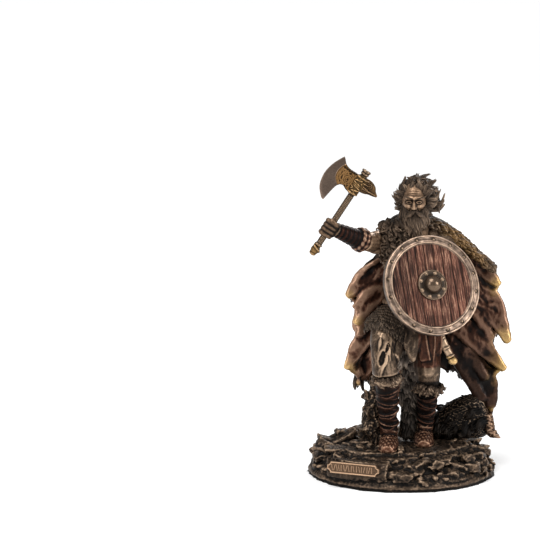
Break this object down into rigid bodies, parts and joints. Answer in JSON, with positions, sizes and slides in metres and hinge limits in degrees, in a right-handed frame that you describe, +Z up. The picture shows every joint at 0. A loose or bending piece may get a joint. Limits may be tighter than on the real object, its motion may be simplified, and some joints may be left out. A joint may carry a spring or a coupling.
{
  "type": "warrior statuette",
  "caption": "Cold-cast bronze statuette of a viking warrior in a pelt cloak, raising an axe and holding a round shield, on a rock base with a bare name plaque.",
  "frame": {"origin": "centre of the rock base's underside, on the ground", "axes": "+Z up, the warrior faces -Y, and +X is on the right as seen from in front, on the shield's side"},
  "size_m": [0.1407, 0.1188, 0.2198],
  "materials": {
    "bronze": "satin",
    "dark_rock": "satin",
    "stained_wood": "satin",
    "pale_bronze": "satin"
  },
  "bodies": {
    "root": {"warrior": "bronze", "rock_base": "dark_rock", "round_shield": "stained_wood", "battle_axe": "pale_bronze"}
  },
  "joints": []
}
